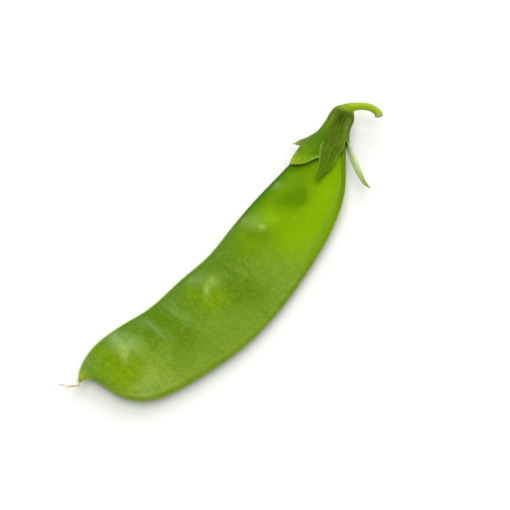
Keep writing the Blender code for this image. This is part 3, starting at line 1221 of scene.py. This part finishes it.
    def station_at(self, station: Array) -> tuple[Array, ...]:
        """The neck's oval at stations.

        Args:
            station: The stations.

        Returns:
            The oval's centre, the way across it, its half width and its half thickness.
        """
        nearby = 0.1
        here = spline(self.stations, station)
        ahead = spline(self.stations, station + nearby)
        behind = spline(self.stations, station - nearby)
        along = (ahead - behind)[:, :2]
        along /= np.linalg.norm(along, axis=1)[:, None]
        across = np.stack([along[:, 1], -along[:, 0], np.zeros(len(here))], axis=1)
        return here[:, :3], across, here[:, 3], here[:, 4]

    def surface(self, station: Array, degrees: Array, off: Array) -> Array:
        """Points on the calyx.

        Args:
            station: Their stations.
            degrees: How far round the neck they are, from the ventral seam.
            off: How far they stand off the neck's oval, in millimetres.

        Returns:
            The points, in millimetres.
        """
        centre, across, wide, thick = self.station_at(station)
        angle = np.radians(degrees)
        up = np.array([0.0, 0.0, 1.0])
        cosine, sine = np.cos(angle)[:, None], np.sin(angle)[:, None]
        oval = across * cosine * wide[:, None] + up * sine * thick[:, None]
        return centre + oval + (across * cosine + up * sine) * off[:, None]

    def margin(self, knots: tuple, u: Array) -> Array:
        """Stations, degrees and stand-offs along one margin of a lobe, and down its side of the cup.

        Args:
            knots: The margin, as a lobe keeps it.
            u: From the stalk, 0, past where the lobe parts, to its point, 1.

        Returns:
            One row for each place.
        """
        free = np.clip((u - self.joined_share) / (1 - self.joined_share), 0, 1)
        rows = spline(knots, free * (len(knots) - 1))
        rows[:, 0] *= np.clip(u / self.joined_share, 0, 1)
        return rows

    def lobe_shape(self, lobe: Lobe, u: Array, v: Array) -> dict[str, Array]:
        """The points of a lobe with its sector of the cup.

        Args:
            lobe: The lobe.
            u: From the stalk, 0, along the cup to the lobe's point, 1.
            v: From one margin, 0, to the other, 1.

        Returns:
            The points in metres, and the masks of the finish.
        """
        share = np.clip((u - self.joined_share) / (1 - self.joined_share), 0, 1)
        first, last = self.margin(lobe.first, u), self.margin(lobe.last, u)
        station, degrees, off = (first + (last - first) * v[:, None]).T
        off += self.veins(v, *self.vein_ridges) * np.clip(station, 0, 1) * (1 - self.ridge_loss * share)
        points = self.surface(station, degrees, off)
        points[:, 2] += self.uneven.at(points[:, 0], points[:, 1]) * np.clip(station - 1, 0, 1)
        made = {"points": points * MM}
        made.update(self.masks(lobe, share, v, station, degrees))
        return made

    def veins(self, v: Array, middle: tuple, side: tuple) -> Array:
        """How far places across a lobe lie on its middle vein and its two side veins.

        Args:
            v: From one margin, 0, to the other, 1.
            middle: The strength and width of the middle vein.
            side: Those of the side veins.

        Returns:
            The strength of the veins there.
        """
        place = 2 * v - 1
        return middle[0] * hill(place, middle[1]) + side[0] * near(np.abs(place), self.side_vein, side[1])

    def patch(self, name: str, station: Array, degrees: Array) -> Array:
        """How much of one colour's patches lies at places on the cup.

        Args:
            name: The colour's name.
            station: The places' stations.
            degrees: How far round the neck they are.

        Returns:
            The sum of the patches' strengths there.
        """
        rows = (row[1:] for row in self.patches if row[0] == name)
        return sum(
            power * near(station, place, reach) * near(degrees, turn, spread)
            for place, reach, turn, spread, power in rows
        )

    def masks(self, lobe: Lobe, share: Array, v: Array, station: Array, degrees: Array) -> dict[str, Array]:
        """Where each colour of a lobe and its sector of the cup lies, and how thick the blade is.

        Args:
            lobe: The lobe.
            share: From where the lobe parts, 0, to its point, 1.
            v: From one margin, 0, to the other, 1.
            station: The places' stations.
            degrees: How far round the neck they are.

        Returns:
            The masks, and the blade's thickness as a share under "body".
        """
        aside = np.abs(2 * v - 1)
        parted = np.clip(share / self.parting_share, 0, 1)
        # past 250 degrees the count goes up to 0, so that a patch runs on over the ventral seam
        degrees = np.where(degrees > 250, degrees - 360, degrees)
        green = ramp(station, *self.green_stations) * fade(degrees, *self.green_degrees)
        green += self.point_green * ramp(station, *self.point_stations)
        lower = ramp(degrees, *self.joint_loss_degrees)
        joint = (end - loss * lower for end, loss in zip(self.joint_stations, self.joint_loss))
        inset = np.minimum(v, 1 - v) / self.lining_inset + self.inset_closed.at(share)
        striped = self.lining_power.at(share) + self.lining_stripes * np.cos(self.stripe_turn * v)
        lost = ramp(v, *self.chalk_lost_across) * ramp(share, *self.chalk_lost_along)
        chalk_and_painted_light = self.chalk_power * ramp(share, *self.chalk_start) * fade(share, *self.chalk_end)
        return {
            "vein": self.veins(v, *self.vein_lines),
            "margin": self.margin_power * aside**12 * parted + self.patch("margin", station, degrees),
            "pale": lobe.pale * ramp(station, *self.lining_stations) * np.clip(inset, 0, 1) * striped,
            # whitish lining, partly painted light
            "chalk_and_painted_light": lobe.pale * chalk_and_painted_light * (1 - self.chalk_lost * lost),
            "green": np.clip(green, 0, 1),
            "bright": lobe.bright * ramp(share, *self.bright_share),
            "dark": self.patch("dark", station, degrees),
            "yellow": self.patch("yellow", station, degrees),
            "brown": self.patch("brown", station, degrees),
            "joint": fade(station, *joint),
            "tip": ramp(share, *self.tip_share),
            "gold": lobe.bright * ramp(share, *self.gold_share),
            "body": np.clip(1 - self.margin_thinning * aside**4 * parted, 0, 1),
        }

    def build(self) -> bpy.types.Object:
        """Models the calyx: five sectors joined into one sheet, which then gets its thickness.

        Returns:
            Its mesh object.
        """
        sectors = []
        for lobe in self.lobes:
            name = f"sector_{lobe.side.value}"
            part = Bench.wrapped_grid(
                name, self.rows, self.columns, lambda u, v, lobe=lobe: self.lobe_shape(lobe, u, v)
            )
            sectors.append(part)
        obj = Bench.join(sectors, "calyx_cup")
        Bench.close(obj)
        group = obj.vertex_groups.new(name="body")
        weights = np.empty(len(obj.data.vertices), np.float32)
        obj.data.attributes["body"].data.foreach_get("value", weights)
        for index, weight in enumerate(weights):
            group.add([index], float(weight), "REPLACE")
        wall = obj.modifiers.new("wall", "SOLIDIFY")
        wall.thickness = self.thickness * MM
        wall.offset = 0.0
        wall.vertex_group = group.name
        outer = len(obj.data.vertices)
        Bench.apply(obj, wall)
        layer = obj.data.attributes.new("inner", "FLOAT", "POINT")
        layer.data.foreach_set("value", (np.arange(len(obj.data.vertices)) >= outer).astype(np.float32))
        soft = obj.modifiers.new("soft", "SUBSURF")
        soft.levels = soft.render_levels = 1
        Bench.apply(obj, soft)
        bpy.ops.object.shade_smooth()
        return obj


@dataclass
class Tube:
    """A round stem or thread along a centre line, in the construction's millimetres.

    line is rows of centre x, y, z and radius. ridge_height and hollow, the depth of the dent in the cut, are
    shares of the radius. cut_share is the share of the grid's rows that closes each end.
    """

    name: str
    line: tuple
    rows: int
    columns: int
    ridges: int = 0
    ridge_height: float = 0.0
    cut_share: float = 0.08
    hollow: float = 0.0

    def shape(self, u: Array, v: Array) -> dict[str, Array]:
        """The tube's points and masks.

        Args:
            u: Along the tube, with its two end faces at the first and last share.
            v: Round it.

        Returns:
            The points in metres, how far along each lies, and whether it is on the cut end.
        """
        start = np.clip(u / self.cut_share, 0, 1)
        end = np.clip((1 - u) / self.cut_share, 0, 1)
        along = np.clip((u - self.cut_share) / (1 - 2 * self.cut_share), 0, 1)
        knots = along * (len(self.line) - 1)
        nearby = 0.05
        here = spline(self.line, knots)
        way = spline(self.line, knots + nearby)[:, :3] - spline(self.line, knots - nearby)[:, :3]
        way /= np.linalg.norm(way, axis=1)[:, None]
        side = np.cross(way, np.array([0.0, 0.0, 1.0]))
        side /= np.linalg.norm(side, axis=1)[:, None]
        over = np.cross(side, way)
        turn = 2 * math.pi * v
        radius = here[:, 3] * np.minimum(start, end) * (1 + self.ridge_height * np.cos(self.ridges * turn))
        dent = self.hollow * here[:, 3] * (1 - end**2)
        ring = side * np.cos(turn)[:, None] + over * np.sin(turn)[:, None]
        points = here[:, :3] + ring * radius[:, None] - way * dent[:, None]
        return {"points": points * MM, "along": along, "cut": ramp(1 - end, 0.0, 0.4)}

    def build(self) -> bpy.types.Object:
        """Models the tube.

        Returns:
            Its mesh object.
        """
        obj = Bench.wrapped_grid(self.name, self.rows, self.columns, self.shape)
        Bench.close(obj)
        return obj


STALK = Tube(
    name="stalk_hook",
    line=(
        (83.3, 5.05, 4.40, 1.85),
        (84.1, 5.2, 4.45, 1.65),
        (84.65, 5.2, 4.55, 1.42),
        (85.4, 4.9, 4.75, 1.10),
        (86.3, 4.2, 4.95, 0.90),
        (87.4, 3.15, 5.00, 0.82),
        (88.3, 1.9, 4.90, 0.82),
        (88.7, 0.6, 4.70, 0.82),
        (88.65, -0.3, 4.50, 0.86),
        (88.35, -0.85, 4.35, 0.93),
    ),
    rows=120,
    columns=48,
    ridges=5,
    ridge_height=0.035,
    hollow=0.12,
)

STYLE = Tube(
    name="style_thread",
    line=(
        (0.05, -0.15, 2.70, 0.26),
        (-0.40, -0.48, 2.66, 0.20),
        (-0.95, -0.05, 2.40, 0.15),
        (-1.50, 0.65, 2.00, 0.19),
        (-2.00, 1.15, 1.65, 0.15),
        (-2.20, 1.75, 1.45, 0.14),
        (-2.45, 2.45, 1.30, 0.13),
        (-3.00, 3.00, 1.20, 0.11),
    ),
    rows=80,
    columns=12,
)


@dataclass
class Studio:
    """The floor, the light and the camera, in metres and degrees.

    aim is the point of the construction that the camera looks at, in millimetres. lamps are rows of a name,
    a place from there, the side of the light's square, and its power in watts.
    """

    azimuth: float = -45.0
    elevation: float = 64.0
    distance: float = 0.300
    lens: float = 100.0
    sight: tuple[float, float] = (0.01, 10.0)
    aim: tuple = (45.67, -4.82, 2.2)
    floor_size: float = 6.0
    world_strength: float = 0.55
    sky: Colour = (1.0, 1.0, 1.0)
    lamps: tuple = (
        ("key_light", (0.68, 0.50, 0.71), 0.7, 4.3),
        ("top_light", (0.05, 0.05, 1.1), 0.9, 5.2),
    )

    def floor(self) -> None:
        """Lays the floor."""
        Bench.clear_selection()
        bpy.ops.mesh.primitive_plane_add(size=self.floor_size)
        floor = bpy.context.active_object
        floor.name = "floor"
        Paper().dress(floor)

    def lamp(self, name: str, place: tuple, size: float, power: float, target: Vector) -> None:
        """Adds one soft light.

        Args:
            name: The light's name.
            place: Where it is from the object, in metres.
            size: The side of its square, in metres.
            power: Its power in watts.
            target: What it shines at.
        """
        Bench.clear_selection()
        bpy.ops.object.light_add(type="AREA", location=target + Vector(place))
        lamp = bpy.context.active_object
        lamp.name = name
        lamp.data.energy = power
        lamp.data.size = size
        lamp.rotation_mode = "QUATERNION"
        lamp.rotation_quaternion = Vector(place).to_track_quat("Z", "Y")

    def camera(self, target: Vector) -> None:
        """Puts the camera at the photograph's viewing angle.

        Args:
            target: What it looks at.
        """
        a, e = math.radians(self.azimuth), math.radians(self.elevation)
        back = Vector((math.sin(a) * math.cos(e), -math.cos(a) * math.cos(e), math.sin(e)))
        Bench.clear_selection()
        bpy.ops.object.camera_add(location=target + back * self.distance)
        camera = bpy.context.active_object
        camera.data.lens = self.lens
        camera.data.clip_start, camera.data.clip_end = self.sight
        camera.rotation_mode = "QUATERNION"
        camera.rotation_quaternion = (-back).to_track_quat("-Z", "Y")
        bpy.context.scene.camera = camera

    def world(self) -> None:
        """Sets the even white light from all round."""
        world = bpy.data.worlds.new("studio")
        world.use_nodes = True
        background = world.node_tree.nodes["Background"]
        background.inputs["Color"].default_value = (*self.sky, 1)
        background.inputs["Strength"].default_value = self.world_strength
        bpy.context.scene.world = world

    def build(self, shift: Vector) -> None:
        """Sets up the studio.

        Args:
            shift: From the construction's place to the row's, in metres.
        """
        target = Vector(self.aim) * MM + shift
        self.world()
        self.floor()
        for name, place, size, power in self.lamps:
            self.lamp(name, place, size, power, target)
        self.camera(target)
        bpy.context.scene.view_settings.view_transform = "Standard"


def move(obj: bpy.types.Object, shift: Vector) -> None:
    """Moves a mesh's points, and leaves its object at the origin.

    Args:
        obj: The mesh object.
        shift: How far to move them, in metres.
    """
    flat = np.empty(len(obj.data.vertices) * 3)
    obj.data.vertices.foreach_get("co", flat)
    obj.data.vertices.foreach_set("co", (flat.reshape(-1, 3) + np.array(shift)).ravel())
    obj.data.update()


def main() -> None:
    """Builds and dresses the pieces in order, then the studio round them."""
    logging.basicConfig(level=logging.INFO, format="%(name)s: %(message)s")
    pod = Pod().build()
    shift = Vector(SHIFT_MM) * MM
    calyx, stalk, style = Calyx().build(), STALK.build(), STYLE.build()
    PodSkin().dress(pod)
    SepalSkin().dress(calyx)
    StalkSkin().dress(stalk)
    ThreadSkin().dress(style)
    rows = (
        (pod, "pod", "pod_skin"),
        (calyx, "calyx", "calyx_green"),
        (stalk, "stalk", "stalk_green"),
        (style, "style", "style_tan"),
    )
    for piece, node, slot in rows:
        move(piece, shift)
        Bench.hand_over(piece, node, slot)
    Studio().build(shift)


if __name__ == "__main__":
    main()
